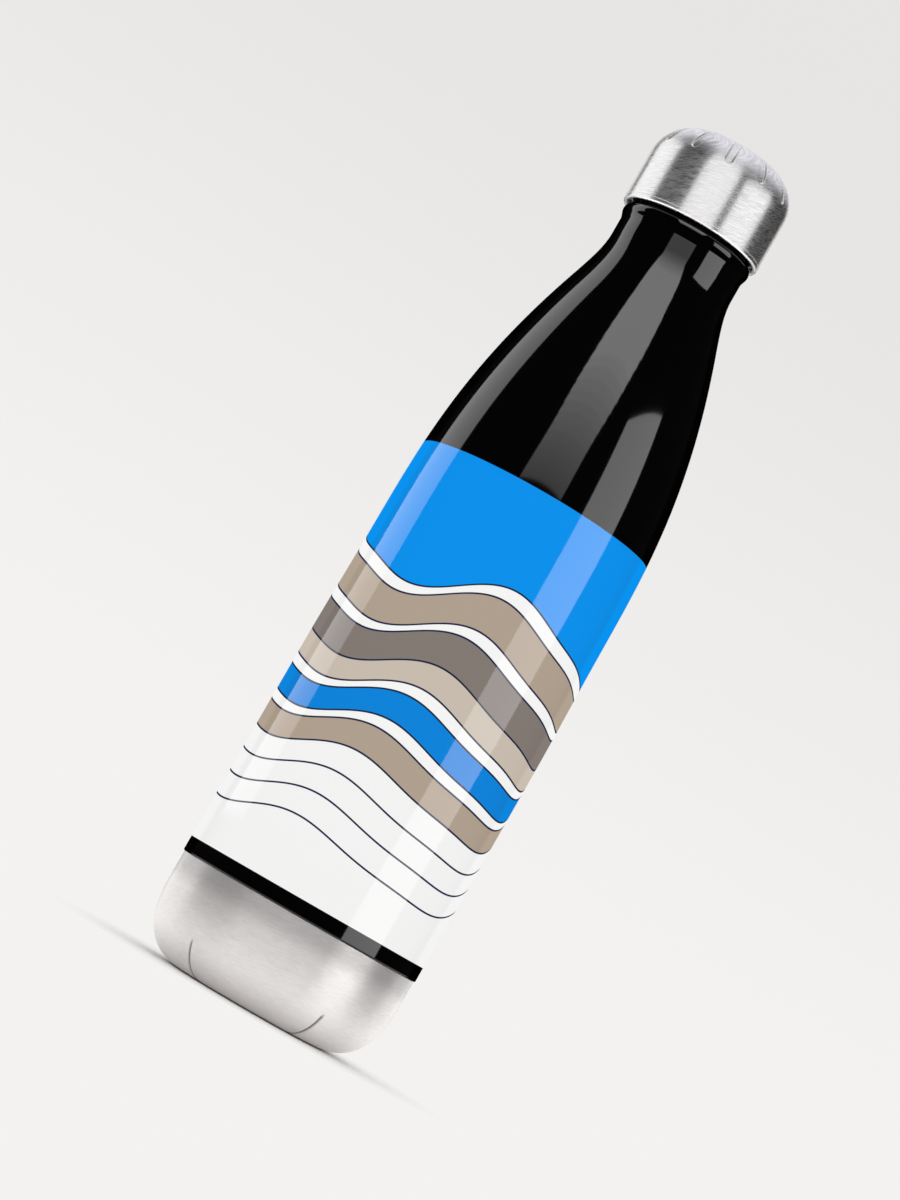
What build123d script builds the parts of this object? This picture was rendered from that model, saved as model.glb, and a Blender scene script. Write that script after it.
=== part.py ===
from build123d import *
import os

# Insulated bottle with a screw cap. Millimetres, +Z up along the bottle's axis,
# origin at the centre of the plane that the foot stands on.

os.makedirs("parts", exist_ok=True)

# ---- driving dimensions -------------------------------------------------------------

# outside of the bottle
BODY_RADIUS = 35.4          # painted wall
BASE_STEP = 0.4             # the bare base is this much smaller in radius
BASE_HEIGHT = 27.6          # bare steel base, foot to paint edge
STRAIGHT_HEIGHT = 64.4      # cylindrical stretch of the painted wall above the base
SHOULDER_HEIGHT = 137.0     # long drawn-in stretch from the wall to the neck
NECK_RADIUS = 18.6
NECK_HEIGHT = 4.8           # plain neck below the bead
BEAD_OUT = 0.75             # bead stands this far out of the neck
BEAD_FLARE = 3.0            # height over which the neck flares into the bead
BEAD_ROUND = 1.8            # rounding on top of the bead
LIP_HEIGHT = 9.4            # bare lip above the bead, up to the mouth
PAINT_EDGE_ROUND = 0.3      # rounded lower edge of the painted wall

# form of the shoulder: share of its height, share of its drop in radius
SHOULDER_FORM = ((0.22, 0.022), (0.45, 0.058), (0.59, 0.172), (0.73, 0.395), (0.875, 0.74), (0.94, 0.914))

# sheet metal and the vacuum between the walls
SHELL_WALL = 0.6
LINER_WALL = 0.6
BODY_GAP = 5.0              # vacuum gap in the body
LINER_NECK_RADIUS = 15.0    # clear radius of the mouth, without the thread
RIM_THICKNESS = 1.0         # mouth rim, liner edge turned out over the shell edge
RIM_ROUND = 0.4

# bottom
BASE_CORNER = 15.6          # rounding between base wall and foot
FOOT_RING_WIDTH = 3.4
RECESS_DEPTH = 2.2
RECESS_SLOPE = 0.9          # the recess wall leans in by this much
RECESS_ROUND = 0.5
DIMPLE_RADIUS = 4.6
DIMPLE_DEPTH = 1.4
DIMPLE_SLOPE = 0.6
PUMP_HOLE_RADIUS = 0.8
SPIGOT_HEIGHT = 3.4         # joggled edge of the base inside the painted wall
JOGGLE_HEIGHT = 0.6
COVER_THICKNESS = 0.7
SEAL_RADIUS = 2.9
SEAL_HEIGHT = 1.0
SEAL_ROUND = 0.6
LINER_FLOOR = 6.6           # underside of the liner above the ground
LINER_CORNER = 9.0
LINER_SEAM = 22.0           # weld between liner tube and its bottom dish
FOIL_THICKNESS = 0.12
FOIL_MARGIN = 4.0           # foil stops this far above the seam and below the shoulder
GETTER_RADIUS = 3.2
GETTER_HEIGHT = 1.7
GETTER_PLACE = 9.5          # distance of the getter from the axis
CLIP_SHEET = 0.3
CLIP_WIDTH = 3.0
CLIP_FOOT = 2.4

# thread of neck and stopper, right-hand, one start
PITCH = 4.0
THREAD_TURNS = 3.0
THREAD_BELOW_MOUTH = 4.2    # the liner's thread ends this far below the mouth
RIDGE_HEIGHT = 1.1
RIDGE_ROOT = 1.7
RIDGE_CREST = 0.8
RIDGE_SINK = 0.2            # the ridge is rooted this deep in its wall
THREAD_CLEARANCE = 0.4      # ridge crest to the opposite wall

# cap
CAP_RADIUS = 20.66
CAP_GAP = 0.3               # cap edge above the top of the bead
CAP_HEIGHT = 27.3
CROWN_RADIUS = 72.0         # large radius of the crown
CROWN_CORNER = 11.3         # rounding between crown and cap wall
CAP_WALL = 0.8
HEM_HEIGHT = 1.2
HEM_TURN_IN = 0.5           # hem reaches this much further in than the wall
HEM_GROOVE = 0.18
HEM_ROUND = 0.55
NOTCH_COUNT = 12
NOTCH_TURN = -3.4           # degrees, where the notches stand when the cap is screwed home
NOTCH_WIDTH = 2.6
NOTCH_DEPTH = 0.5
NOTCH_DROP = 9.4            # top of the crown to the lower end of a notch
NOTCH_INNER_RADIUS = 12.0
LINING_WALL = 1.4
LINING_CLEARANCE = 0.05
LINING_ABOVE_EDGE = 1.6     # lining stops this far above the cap edge
PAD_RADIUS = 11.0
PAD_DROP = 2.8              # underside of the pad below the top of the crown
RIB_COUNT = 6
RIB_THICKNESS = 1.2
RIB_HUB = 4.0
FLANGE_THICKNESS = 2.0
FLANGE_CLEARANCE = 0.1
GASKET_THICKNESS = 1.6
GASKET_CLEARANCE = 0.3
GASKET_WIDTH = 3.4
GASKET_ROUND = 0.4
PLUG_DEPTH = 25.0           # stopper below the mouth
PLUG_WALL = 1.8
PLUG_CHAMFER = 1.0
END_THICKNESS = 2.0
END_SPIGOT = 1.5
FOAM_CLEARANCE = 0.05

# ---- places that follow from them ---------------------------------------------------

STRAIGHT_TOP = BASE_HEIGHT + STRAIGHT_HEIGHT
SHOULDER_TOP = STRAIGHT_TOP + SHOULDER_HEIGHT
NECK_TOP = SHOULDER_TOP + NECK_HEIGHT
BEAD_WIDEST = NECK_TOP + BEAD_FLARE
BEAD_TOP = BEAD_WIDEST + BEAD_ROUND
MOUTH = BEAD_TOP + LIP_HEIGHT
LIP_RADIUS = NECK_RADIUS + BEAD_OUT - BEAD_ROUND
BASE_RADIUS = BODY_RADIUS - BASE_STEP
SHELL_INSIDE = BODY_RADIUS - SHELL_WALL
LINER_OUTSIDE = SHELL_INSIDE - BODY_GAP
LINER_INSIDE = LINER_OUTSIDE - LINER_WALL
FOOT_RADIUS = BASE_RADIUS - BASE_CORNER
RECESS_RADIUS = FOOT_RADIUS - FOOT_RING_WIDTH - RECESS_SLOPE
CUP_FLOOR = RECESS_DEPTH + SHELL_WALL

CAP_EDGE = BEAD_TOP + CAP_GAP
CAP_TOP = CAP_EDGE + CAP_HEIGHT
CAP_INSIDE = CAP_RADIUS - CAP_WALL
LINING_RADIUS = CAP_INSIDE - LINING_CLEARANCE
LINING_INSET = CAP_WALL + LINING_CLEARANCE
LINING_INSIDE = LINING_RADIUS - LINING_WALL
FLANGE_BOTTOM = MOUTH + GASKET_THICKNESS
FLANGE_TOP = FLANGE_BOTTOM + FLANGE_THICKNESS
PAD_BOTTOM = CAP_TOP - PAD_DROP
NOTCH_END = CAP_TOP - NOTCH_DROP

PLUG_RADIUS = LINER_NECK_RADIUS - RIDGE_HEIGHT - THREAD_CLEARANCE
PLUG_RIDGE = LINER_NECK_RADIUS - THREAD_CLEARANCE - PLUG_RADIUS
PLUG_BOTTOM = MOUTH - PLUG_DEPTH
THREAD_HEIGHT = PITCH * THREAD_TURNS
THREAD_FOOT = MOUTH - THREAD_BELOW_MOUTH - THREAD_HEIGHT


def shoulder_curve(wall_radius, neck_radius):
    """The shoulder's form between a wall and a neck of these radii, drawn as one smooth curve."""
    points = [(wall_radius, STRAIGHT_TOP)]
    for height_share, drop_share in SHOULDER_FORM:
        radius = wall_radius - drop_share * (wall_radius - neck_radius)
        points.append((radius, STRAIGHT_TOP + height_share * SHOULDER_HEIGHT))
    points.append((neck_radius, SHOULDER_TOP))
    return Spline(*points, tangents=[(0, 1), (0, 1)])


def bead_side(inset):
    """One face of the sheet from the neck over the bead to the lip, this far inside the outer face."""
    neck = NECK_RADIUS - inset
    widest = neck + BEAD_OUT
    rounding = BEAD_ROUND - inset
    Line((neck, SHOULDER_TOP), (neck, NECK_TOP))
    Spline((neck, NECK_TOP), (widest, BEAD_WIDEST), tangents=[(0, 1), (0, 1)])
    RadiusArc((widest, BEAD_WIDEST), (LIP_RADIUS, BEAD_WIDEST + rounding), -rounding)
    step = BEAD_WIDEST + rounding
    if inset:
        Line((LIP_RADIUS, step), (LIP_RADIUS - inset, step))
    Line((LIP_RADIUS - inset, step), (LIP_RADIUS - inset, MOUTH - RIM_THICKNESS))


def dome_outline(inset):
    """Half outline of the cap's dome, this far inside its outer face, from the cap edge to the axis."""
    radius = CAP_RADIUS - inset
    corner = CROWN_CORNER - inset
    crown = CROWN_RADIUS - inset
    across = (CAP_RADIUS - CROWN_CORNER) / (CROWN_RADIUS - CROWN_CORNER)
    down = (1 - across**2) ** 0.5
    crown_centre = CAP_TOP - CROWN_RADIUS
    corner_centre = crown_centre + (CROWN_RADIUS - CROWN_CORNER) * down
    meeting = (crown * across, crown_centre + crown * down)
    Line((0, CAP_EDGE), (radius, CAP_EDGE))
    Line((radius, CAP_EDGE), (radius, corner_centre))
    RadiusArc((radius, corner_centre), meeting, -corner)
    RadiusArc(meeting, (0, crown_centre + crown), -crown)
    Line((0, crown_centre + crown), (0, CAP_EDGE))


def dome_solid(inset):
    """Solid dome, this far inside the cap's outer face."""
    with BuildPart() as dome:
        with BuildSketch(Plane.XZ):
            with BuildLine():
                dome_outline(inset)
            make_face()
        revolve(axis=Axis.Z)
    return dome.part


def thread_ridge(wall_radius, height, foot, outward):
    """Helical ridge that stands out of a wall of this radius, outward or inward."""
    side = 1 if outward else -1
    flank = (RIDGE_ROOT - RIDGE_CREST) / 2 / height
    sunk_root = RIDGE_ROOT / 2 + RIDGE_SINK * flank
    with BuildPart() as ridge:
        with BuildLine() as path:
            Helix(PITCH, THREAD_HEIGHT, wall_radius, center=(0, 0, foot))
        section = Plane(origin=path.line @ 0, x_dir=(1, 0, 0), z_dir=path.line % 0)
        with BuildSketch(section):
            with BuildLine():
                Polyline(
                    (-side * RIDGE_SINK, sunk_root),
                    (side * height, RIDGE_CREST / 2),
                    (side * height, -RIDGE_CREST / 2),
                    (-side * RIDGE_SINK, -sunk_root),
                    close=True,
                )
            make_face()
        sweep(path=path.line, is_frenet=True)
    return ridge.part


# ---- painted outer wall: body, shoulder, neck, bead and lip -------------------------

with BuildPart() as outer_shell:
    with BuildSketch(Plane.XZ):
        with BuildLine():
            Line((SHELL_INSIDE, BASE_HEIGHT), (BODY_RADIUS, BASE_HEIGHT))
            Line((BODY_RADIUS, BASE_HEIGHT), (BODY_RADIUS, STRAIGHT_TOP))
            shoulder_curve(BODY_RADIUS, NECK_RADIUS)
            bead_side(0)
            Line((LIP_RADIUS, MOUTH - RIM_THICKNESS), (LIP_RADIUS - SHELL_WALL, MOUTH - RIM_THICKNESS))
            bead_side(SHELL_WALL)
            shoulder_curve(SHELL_INSIDE, NECK_RADIUS - SHELL_WALL)
            Line((SHELL_INSIDE, STRAIGHT_TOP), (SHELL_INSIDE, BASE_HEIGHT))
        make_face()
    revolve(axis=Axis.Z)
    paint_edge = outer_shell.edges().filter_by(GeomType.CIRCLE).group_by(Axis.Z)[0].sort_by(SortBy.RADIUS)[-1]
    fillet(paint_edge, PAINT_EDGE_ROUND)
outer_shell.part.label = "outer_shell"
export_step(outer_shell.part, "parts/outer_shell.step")

# ---- bare base: pressed cup with foot ring, recess and pumping dimple ---------------

with BuildPart() as base_cup:
    with BuildSketch(Plane.XZ):
        with BuildLine():
            outside = FilletPolyline(
                (SHELL_INSIDE, BASE_HEIGHT + SPIGOT_HEIGHT),
                (SHELL_INSIDE, BASE_HEIGHT),
                (BASE_RADIUS, BASE_HEIGHT),
                (BASE_RADIUS, 0),
                (RECESS_RADIUS + RECESS_SLOPE, 0),
                (RECESS_RADIUS, RECESS_DEPTH),
                (DIMPLE_RADIUS, RECESS_DEPTH),
                (DIMPLE_RADIUS - DIMPLE_SLOPE, RECESS_DEPTH + DIMPLE_DEPTH),
                (0, RECESS_DEPTH + DIMPLE_DEPTH),
                radius=[0, 0, BASE_CORNER] + [RECESS_ROUND] * 4,
            )
            inside = FilletPolyline(
                (0, CUP_FLOOR + DIMPLE_DEPTH),
                (DIMPLE_RADIUS - DIMPLE_SLOPE + SHELL_WALL, CUP_FLOOR + DIMPLE_DEPTH),
                (DIMPLE_RADIUS + SHELL_WALL, CUP_FLOOR),
                (RECESS_RADIUS + SHELL_WALL, CUP_FLOOR),
                (RECESS_RADIUS + RECESS_SLOPE + SHELL_WALL, SHELL_WALL),
                (BASE_RADIUS - SHELL_WALL, SHELL_WALL),
                (BASE_RADIUS - SHELL_WALL, BASE_HEIGHT - JOGGLE_HEIGHT),
                (SHELL_INSIDE - SHELL_WALL, BASE_HEIGHT),
                (SHELL_INSIDE - SHELL_WALL, BASE_HEIGHT + SPIGOT_HEIGHT),
                radius=[RECESS_ROUND] * 4 + [BASE_CORNER - SHELL_WALL, 0, 0],
            )
            Line(outside @ 1, inside @ 0)
            Line(inside @ 1, outside @ 0)
        make_face()
    revolve(axis=Axis.Z)
    with BuildSketch(Plane.XY.offset(RECESS_DEPTH)):
        Circle(PUMP_HOLE_RADIUS)
    extrude(amount=DIMPLE_DEPTH + SHELL_WALL, mode=Mode.SUBTRACT)
base_cup.part.label = "base_cup"
export_step(base_cup.part, "parts/base_cup.step")

# ---- glass seal in the dimple, and the cover disc over it ---------------------------

with BuildPart() as vacuum_seal:
    with BuildSketch(Plane.XY.offset(RECESS_DEPTH + DIMPLE_DEPTH - SEAL_HEIGHT)):
        Circle(SEAL_RADIUS)
    extrude(amount=SEAL_HEIGHT)
    fillet(vacuum_seal.edges().group_by(Axis.Z)[0], SEAL_ROUND)
vacuum_seal.part.label = "vacuum_seal"
export_step(vacuum_seal.part, "parts/vacuum_seal.step")

with BuildPart() as base_cover:
    with BuildSketch(Plane.XY.offset(RECESS_DEPTH - COVER_THICKNESS)):
        Circle(RECESS_RADIUS - RECESS_ROUND)
    extrude(amount=COVER_THICKNESS)
    fillet(base_cover.edges().group_by(Axis.Z)[0], COVER_THICKNESS / 2)
base_cover.part.label = "base_cover"
export_step(base_cover.part, "parts/base_cover.step")

# ---- liner: tube, shoulder, threaded neck and mouth rim -----------------------------

liner_thread = thread_ridge(LINER_NECK_RADIUS, RIDGE_HEIGHT, THREAD_FOOT, outward=False)

with BuildPart() as inner_liner:
    with BuildSketch(Plane.XZ):
        with BuildLine():
            Line((LINER_INSIDE, LINER_SEAM), (LINER_OUTSIDE, LINER_SEAM))
            Line((LINER_OUTSIDE, LINER_SEAM), (LINER_OUTSIDE, STRAIGHT_TOP))
            shoulder_curve(LINER_OUTSIDE, LINER_NECK_RADIUS + LINER_WALL)
            Polyline(
                (LINER_NECK_RADIUS + LINER_WALL, SHOULDER_TOP),
                (LINER_NECK_RADIUS + LINER_WALL, MOUTH - RIM_THICKNESS),
                (LIP_RADIUS, MOUTH - RIM_THICKNESS),
                (LIP_RADIUS, MOUTH),
                (LINER_NECK_RADIUS, MOUTH),
                (LINER_NECK_RADIUS, SHOULDER_TOP),
            )
            shoulder_curve(LINER_INSIDE, LINER_NECK_RADIUS)
            Line((LINER_INSIDE, STRAIGHT_TOP), (LINER_INSIDE, LINER_SEAM))
        make_face()
    revolve(axis=Axis.Z)
    fillet(inner_liner.edges().group_by(Axis.Z)[-1], RIM_ROUND)
    add(liner_thread)
inner_liner.part.label = "inner_liner"
export_step(inner_liner.part, "parts/inner_liner.step")

with BuildPart() as liner_bottom:
    with BuildSketch(Plane.XZ):
        with BuildLine():
            dish_outside = FilletPolyline(
                (LINER_OUTSIDE, LINER_SEAM),
                (LINER_OUTSIDE, LINER_FLOOR),
                (0, LINER_FLOOR),
                radius=LINER_CORNER,
            )
            dish_inside = FilletPolyline(
                (0, LINER_FLOOR + LINER_WALL),
                (LINER_INSIDE, LINER_FLOOR + LINER_WALL),
                (LINER_INSIDE, LINER_SEAM),
                radius=LINER_CORNER - LINER_WALL,
            )
            Line(dish_outside @ 1, dish_inside @ 0)
            Line(dish_inside @ 1, dish_outside @ 0)
        make_face()
    revolve(axis=Axis.Z)
liner_bottom.part.label = "liner_bottom"
export_step(liner_bottom.part, "parts/liner_bottom.step")

with BuildPart() as liner_foil:
    with BuildSketch(Plane.XY.offset(LINER_SEAM + FOIL_MARGIN)):
        Circle(LINER_OUTSIDE + FOIL_THICKNESS)
        Circle(LINER_OUTSIDE, mode=Mode.SUBTRACT)
    extrude(amount=STRAIGHT_TOP - LINER_SEAM - 2 * FOIL_MARGIN)
liner_foil.part.label = "liner_foil"
export_step(liner_foil.part, "parts/liner_foil.step")

# ---- getter and its clip, on the inside of the base cup -----------------------------

with BuildPart() as getter_pill:
    with BuildSketch(Plane.XY.offset(CUP_FLOOR)):
        with Locations((GETTER_PLACE, 0)):
            Circle(GETTER_RADIUS)
    extrude(amount=GETTER_HEIGHT)
getter_pill.part.label = "getter_pill"
export_step(getter_pill.part, "parts/getter_pill.step")

clip_leg = GETTER_RADIUS + CLIP_SHEET / 2
clip_top = CUP_FLOOR + GETTER_HEIGHT
with BuildPart() as getter_clip:
    with BuildSketch(Plane.YZ.offset(GETTER_PLACE - CLIP_WIDTH / 2)):
        with BuildLine():
            Polyline(
                (-clip_leg - CLIP_FOOT, CUP_FLOOR),
                (-clip_leg, CUP_FLOOR),
                (-clip_leg, clip_top),
                (clip_leg, clip_top),
                (clip_leg, CUP_FLOOR),
                (clip_leg + CLIP_FOOT, CUP_FLOOR),
                (clip_leg + CLIP_FOOT, CUP_FLOOR + CLIP_SHEET),
                (clip_leg + CLIP_SHEET, CUP_FLOOR + CLIP_SHEET),
                (clip_leg + CLIP_SHEET, clip_top + CLIP_SHEET),
                (-clip_leg - CLIP_SHEET, clip_top + CLIP_SHEET),
                (-clip_leg - CLIP_SHEET, CUP_FLOOR + CLIP_SHEET),
                (-clip_leg - CLIP_FOOT, CUP_FLOOR + CLIP_SHEET),
                close=True,
            )
        make_face()
    extrude(amount=CLIP_WIDTH)
getter_clip.part.label = "getter_clip"
export_step(getter_clip.part, "parts/getter_clip.step")

# ---- cap: steel dome with notches and hem -------------------------------------------

notch_core = dome_solid(NOTCH_DEPTH)

with BuildPart() as notch_slab:
    with BuildSketch(Plane.XZ.offset(NOTCH_INNER_RADIUS)):
        with Locations((0, NOTCH_END + NOTCH_WIDTH / 2)):
            Circle(NOTCH_WIDTH / 2)
            Rectangle(NOTCH_WIDTH, NOTCH_DROP, align=(Align.CENTER, Align.MIN))
    extrude(amount=CAP_RADIUS - NOTCH_INNER_RADIUS + NOTCH_DEPTH)

with BuildPart() as notch_cutters:
    with PolarLocations(0, NOTCH_COUNT, start_angle=NOTCH_TURN):
        add(notch_slab.part)
    add(notch_core, mode=Mode.SUBTRACT)

with BuildPart() as cap_shell:
    add(dome_solid(0))
    add(dome_solid(CAP_WALL), mode=Mode.SUBTRACT)
    with BuildSketch(Plane.XZ):
        with BuildLine():
            Polyline(
                (CAP_INSIDE - HEM_TURN_IN, CAP_EDGE),
                (CAP_RADIUS, CAP_EDGE),
                (CAP_RADIUS, CAP_EDGE + HEM_HEIGHT),
                (CAP_INSIDE - HEM_TURN_IN, CAP_EDGE + HEM_HEIGHT),
                close=True,
            )
        make_face()
    revolve(axis=Axis.Z)
    with BuildSketch(Plane.XZ):
        with Locations((CAP_RADIUS, CAP_EDGE + HEM_HEIGHT)):
            Circle(HEM_GROOVE)
    revolve(axis=Axis.Z, mode=Mode.SUBTRACT)
    fillet(cap_shell.edges().group_by(Axis.Z)[0], HEM_ROUND)
    add(notch_cutters.part, mode=Mode.SUBTRACT)
cap_shell.part.label = "cap_shell"
export_step(cap_shell.part, "parts/cap_shell.step")

# ---- foam pad, plastic lining with ribs ---------------------------------------------

with BuildPart() as cap_pad:
    with BuildSketch(Plane.XY.offset(PAD_BOTTOM)):
        Circle(PAD_RADIUS)
    extrude(amount=PAD_DROP)
    add(dome_solid(LINING_INSET), mode=Mode.INTERSECT)
cap_pad.part.label = "cap_pad"
export_step(cap_pad.part, "parts/cap_pad.step")

with BuildPart() as cap_hollow:
    add(dome_solid(LINING_INSET + LINING_WALL))
    split(bisect_by=Plane.XY.offset(PAD_BOTTOM - LINING_WALL), keep=Keep.BOTTOM)
    with BuildSketch(Plane.XY.offset(FLANGE_TOP)):
        with PolarLocations(RIB_HUB, RIB_COUNT):
            Rectangle(LINING_RADIUS, RIB_THICKNESS, align=(Align.MIN, Align.CENTER))
    extrude(amount=PAD_BOTTOM - FLANGE_TOP, mode=Mode.SUBTRACT)

with BuildPart() as inner_cap:
    add(dome_solid(LINING_INSET))
    split(bisect_by=Plane.XY.offset(PAD_BOTTOM), keep=Keep.BOTTOM)
    split(bisect_by=Plane.XY.offset(CAP_EDGE + LINING_ABOVE_EDGE), keep=Keep.TOP)
    add(cap_hollow.part, mode=Mode.SUBTRACT)
inner_cap.part.label = "inner_cap"
export_step(inner_cap.part, "parts/inner_cap.step")

# ---- stopper: threaded plug with flange, foam core, end plate -----------------------

plug_thread = thread_ridge(PLUG_RADIUS, PLUG_RIDGE, THREAD_FOOT + PITCH / 2, outward=True)

with BuildPart() as stopper_plug:
    with BuildSketch(Plane.XY.offset(PLUG_BOTTOM)):
        Circle(PLUG_RADIUS)
    extrude(amount=FLANGE_BOTTOM - PLUG_BOTTOM)
    chamfer(stopper_plug.edges().group_by(Axis.Z)[0], PLUG_CHAMFER)
    with BuildSketch(Plane.XY.offset(FLANGE_BOTTOM)):
        Circle(LINING_INSIDE - FLANGE_CLEARANCE)
    extrude(amount=FLANGE_THICKNESS)
    with BuildSketch(Plane.XY.offset(PLUG_BOTTOM)):
        Circle(PLUG_RADIUS - PLUG_WALL)
    extrude(amount=FLANGE_TOP - PLUG_BOTTOM, mode=Mode.SUBTRACT)
    add(plug_thread)
stopper_plug.part.label = "stopper_plug"
export_step(stopper_plug.part, "parts/stopper_plug.step")

plug_bore = PLUG_RADIUS - PLUG_WALL
with BuildPart() as stopper_end:
    with BuildSketch(Plane.XY.offset(PLUG_BOTTOM - END_THICKNESS)):
        Circle(PLUG_RADIUS - PLUG_CHAMFER)
    extrude(amount=END_THICKNESS)
    fillet(stopper_end.edges().group_by(Axis.Z)[0], END_THICKNESS / 2)
    with BuildSketch(Plane.XY.offset(PLUG_BOTTOM)):
        Circle(plug_bore - FOAM_CLEARANCE)
    extrude(amount=END_SPIGOT)
stopper_end.part.label = "stopper_end"
export_step(stopper_end.part, "parts/stopper_end.step")

with BuildPart() as stopper_foam:
    with BuildSketch(Plane.XY.offset(PLUG_BOTTOM + END_SPIGOT)):
        Circle(plug_bore - FOAM_CLEARANCE)
    extrude(amount=FLANGE_TOP - PLUG_BOTTOM - END_SPIGOT)
stopper_foam.part.label = "stopper_foam"
export_step(stopper_foam.part, "parts/stopper_foam.step")

# ---- silicone gasket between flange and mouth rim -----------------------------------

gasket_inside = PLUG_RADIUS + GASKET_CLEARANCE
with BuildPart() as mouth_gasket:
    with BuildSketch(Plane.XY.offset(MOUTH)):
        Circle(gasket_inside + GASKET_WIDTH)
        Circle(gasket_inside, mode=Mode.SUBTRACT)
    extrude(amount=GASKET_THICKNESS)
    fillet(mouth_gasket.edges().filter_by(GeomType.CIRCLE).sort_by(SortBy.RADIUS)[-2:], GASKET_ROUND)
mouth_gasket.part.label = "mouth_gasket"
export_step(mouth_gasket.part, "parts/mouth_gasket.step")
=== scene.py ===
"""Looks of an insulated screw-cap bottle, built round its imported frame."""

import logging
import math
from dataclasses import dataclass, field
from enum import Enum

import bmesh
import bpy
from mathutils import Matrix, Vector

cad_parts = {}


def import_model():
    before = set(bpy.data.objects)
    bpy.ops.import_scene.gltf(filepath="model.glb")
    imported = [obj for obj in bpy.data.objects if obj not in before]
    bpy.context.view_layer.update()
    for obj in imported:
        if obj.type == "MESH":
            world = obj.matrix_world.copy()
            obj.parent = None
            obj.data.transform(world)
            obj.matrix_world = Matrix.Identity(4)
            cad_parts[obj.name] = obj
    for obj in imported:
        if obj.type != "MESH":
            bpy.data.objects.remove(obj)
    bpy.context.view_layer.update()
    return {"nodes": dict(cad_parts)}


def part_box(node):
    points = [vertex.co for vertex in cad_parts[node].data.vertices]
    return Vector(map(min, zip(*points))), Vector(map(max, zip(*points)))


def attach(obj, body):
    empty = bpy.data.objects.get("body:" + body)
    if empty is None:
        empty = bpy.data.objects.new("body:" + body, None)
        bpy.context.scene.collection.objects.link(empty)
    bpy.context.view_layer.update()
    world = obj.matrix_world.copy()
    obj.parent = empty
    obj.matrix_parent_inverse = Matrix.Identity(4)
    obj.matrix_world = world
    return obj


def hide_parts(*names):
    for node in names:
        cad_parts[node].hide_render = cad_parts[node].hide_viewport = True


log = logging.getLogger("bottle")

MM = 0.001
TAU = 2 * math.pi
Colour = tuple[float, float, float]
Point = tuple[float, float]
PRESSED = "pressed"


def srgb(red: int, green: int, blue: int) -> Colour:
    """Linear colour of an 8-bit screen colour."""
    return tuple(
        c / 12.92 if c <= 0.04045 else ((c + 0.055) / 1.055) ** 2.4
        for c in (red / 255, green / 255, blue / 255)
    )


class Body(Enum):
    """The bodies of the frame that the pieces ride on."""

    BOTTLE = "bottle"
    GASKET = "gasket"
    CAP = "cap"


class Reach(Enum):
    """The pieces that a lamp shows in."""

    CAP = "cap"
    BASE = "base"
    REST = "rest"


# ---- node trees ----------------------------------------------------------------------


class Tree:
    """A node tree with short ways to add nodes and join them."""

    def __init__(self, tree: bpy.types.NodeTree) -> None:
        """Keep the tree that the nodes go into."""
        self.tree = tree

    def node(self, kind: str, inputs: dict | None = None, **settings: object) -> bpy.types.Node:
        """Add one node.

        Args:
            kind: the node's bl_idname.
            inputs: socket name or number to a value or an output socket.
            settings: properties of the node itself.

        Returns:
            The new node.
        """
        new = self.tree.nodes.new(kind)
        for name, value in settings.items():
            setattr(new, name, value)
        for key, value in (inputs or {}).items():
            self.put(new.inputs[key], value)
        return new

    def put(self, socket: bpy.types.NodeSocket, value: object) -> None:
        """Link an output socket to this socket, or set its value."""
        if isinstance(value, bpy.types.NodeSocket):
            self.tree.links.new(value, socket)
        elif isinstance(value, tuple) and socket.type == "RGBA" and len(value) == 3:
            socket.default_value = (*value, 1.0)
        else:
            socket.default_value = value

    def use(self, group: bpy.types.NodeTree, values: dict[str, float] | None = None) -> bpy.types.Node:
        """Place a shader group with its own values."""
        new = self.tree.nodes.new("ShaderNodeGroup")
        new.node_tree = group
        for name, value in (values or {}).items():
            self.put(new.inputs[name], value)
        return new

    def math(self, operation: str, a: object, b: object = 0.0, c: object = 0.0) -> bpy.types.NodeSocket:
        """Result of one Math node."""
        return self.node("ShaderNodeMath", {0: a, 1: b, 2: c}, operation=operation).outputs[0]

    def ramp(self, value: object, low: float, high: float, to_low: float = 0.0, to_high: float = 1.0) -> bpy.types.NodeSocket:
        """Smooth step of a value from low..high to to_low..to_high."""
        inputs = {"Value": value, "From Min": low, "From Max": high, "To Min": to_low, "To Max": to_high}
        return self.node("ShaderNodeMapRange", inputs, interpolation_type="SMOOTHSTEP").outputs["Result"]

    def mix(self, share: object, a: object, b: object, blend: str = "MIX") -> bpy.types.NodeSocket:
        """Colour mix of a and b by share."""
        node = self.tree.nodes.new("ShaderNodeMix")
        node.data_type = "RGBA"
        node.blend_type = blend
        self.put(node.inputs["Factor"], share)
        self.put(node.inputs[6], a)
        self.put(node.inputs[7], b)
        return node.outputs[2]


def make_group(name: str, kind: str, inputs: dict[str, tuple[str, object]], outputs: dict[str, str]) -> Tree:
    """Start a node group with named sockets.

    Args:
        name: the group's name.
        kind: the tree's type.
        inputs: socket name to its type and default.
        outputs: socket name to its type.

    Returns:
        The group's tree, with its input and output nodes on it as ends.
    """
    group = bpy.data.node_groups.new(name, kind)
    for label, (socket_type, default) in inputs.items():
        socket = group.interface.new_socket(label, in_out="INPUT", socket_type=socket_type)
        if default is not None:
            socket.default_value = default
    for label, socket_type in outputs.items():
        group.interface.new_socket(label, in_out="OUTPUT", socket_type=socket_type)
    tree = Tree(group)
    tree.start = group.nodes.new("NodeGroupInput")
    tree.end = group.nodes.new("NodeGroupOutput")
    return tree


FLOAT, INT = "NodeSocketFloat", "NodeSocketInt"
GEOMETRY, VECTOR, COLOUR, MATERIAL = (
    "NodeSocketGeometry",
    "NodeSocketVector",
    "NodeSocketColor",
    "NodeSocketMaterial",
)


# ---- geometry node trees ---------------------------------------------------------------


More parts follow.
